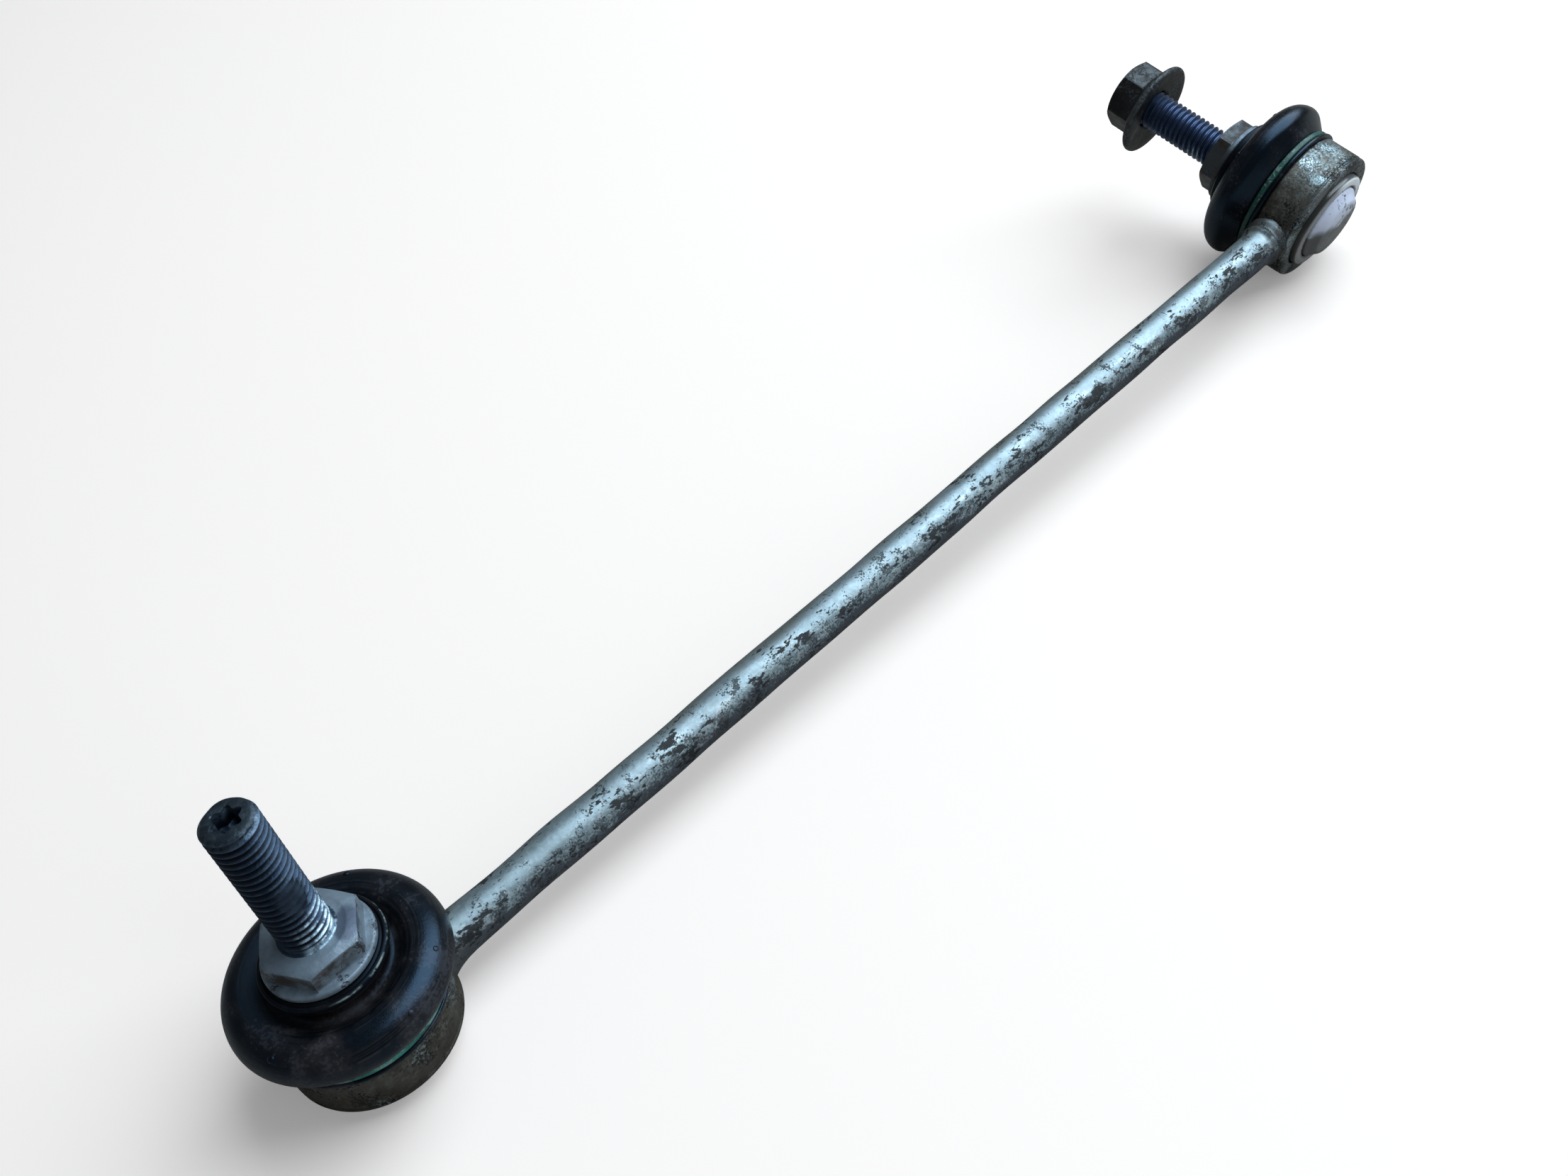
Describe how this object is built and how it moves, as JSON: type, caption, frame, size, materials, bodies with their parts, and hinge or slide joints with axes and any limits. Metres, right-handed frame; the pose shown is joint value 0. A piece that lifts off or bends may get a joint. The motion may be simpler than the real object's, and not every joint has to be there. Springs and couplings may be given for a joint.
{
  "type": "stabilizer link",
  "caption": "Suspension link: a round steel rod with a sealed ball joint at each end, its threaded studs turned away from each other and a flange nut on the far one.",
  "frame": {"origin": "centre of the near ball, where the near stud swivels", "axes": "+X along the rod from the near ball to the far ball, +Z along the near stud towards its threaded end, +Y towards the side that the far stud points to"},
  "size_m": [0.3398, 0.079, 0.077],
  "materials": {
    "rod_steel": "worn zinc plating",
    "housing_steel": "dull and dirty",
    "bearing_plastic": "satin, slightly dirty",
    "stud_steel": "blue-grey phosphate, worn on the crests",
    "collar_plastic": "satin",
    "boot_rubber": "satin with dust",
    "ring_plastic": "satin",
    "spring_steel": "bright wire",
    "nut_steel": "weathered dark plating",
    "nylon": "satin"
  },
  "bodies": {
    "link_body": {"link_rod": "rod_steel", "near_housing": "housing_steel", "near_ball_seat": "bearing_plastic", "near_end_cap": "bearing_plastic", "far_housing": "housing_steel", "far_ball_seat": "bearing_plastic", "far_end_cap": "bearing_plastic"},
    "near_boot_body": {"near_boot": "boot_rubber", "near_boot_base_ring": "ring_plastic"},
    "near_neck_ring": {"near_boot_top_ring": "spring_steel"},
    "near_stud": {"near_ball_stud": "stud_steel", "near_seal_collar": "collar_plastic"},
    "far_boot_body": {"far_boot": "boot_rubber", "far_boot_base_ring": "ring_plastic"},
    "far_neck_ring": {"far_boot_top_ring": "spring_steel"},
    "far_stud": {"far_ball_stud": "stud_steel", "far_seal_collar": "collar_plastic"},
    "lock_ring": {"nut_lock_ring": "nylon"},
    "nut": {"flange_nut": "nut_steel"}
  },
  "joints": [
    {"name": "near_lean_direction", "type": "hinge", "parent": "link_body", "child": "near_boot_body", "pos_m": [0, 0, 0], "axis": [0, 0, 1], "range_deg": [-90, 90]},
    {"name": "near_stud_lean", "type": "hinge", "parent": "near_boot_body", "child": "near_neck_ring", "pos_m": [0, 0, 0], "axis": [0, 1, 0], "range_deg": [-25, 25], "deforming": ["near_boot"]},
    {"name": "near_stud_spin", "type": "hinge", "parent": "near_neck_ring", "child": "near_stud", "pos_m": [0, 0, 0], "axis": [0, 0, 1], "continuous": true},
    {"name": "far_lean_direction", "type": "hinge", "parent": "link_body", "child": "far_boot_body", "pos_m": [0.298, 0, 0], "axis": [0, 0.9511, 0.309], "range_deg": [-90, 90]},
    {"name": "far_stud_lean", "type": "hinge", "parent": "far_boot_body", "child": "far_neck_ring", "pos_m": [0.298, 0, 0], "axis": [1, 0, 0], "range_deg": [-25, 25], "deforming": ["far_boot"]},
    {"name": "far_stud_spin", "type": "hinge", "parent": "far_neck_ring", "child": "far_stud", "pos_m": [0.298, 0, 0], "axis": [0, 0.9511, 0.309], "continuous": true},
    {"name": "nut_travel", "type": "slide", "parent": "far_stud", "child": "lock_ring", "axis": [0, 0.9511, 0.309], "range_m": [-0.0195, 0.009]},
    {"name": "nut_turn", "type": "hinge", "parent": "lock_ring", "child": "nut", "pos_m": [0.298, 0, 0], "axis": [0, 0.9511, 0.309], "range_deg": [-4680, 2160]}
  ],
  "couplings": [
    {"joint": "nut_travel", "follows": "nut_turn", "m_per_rad": 0.00023873}
  ]
}
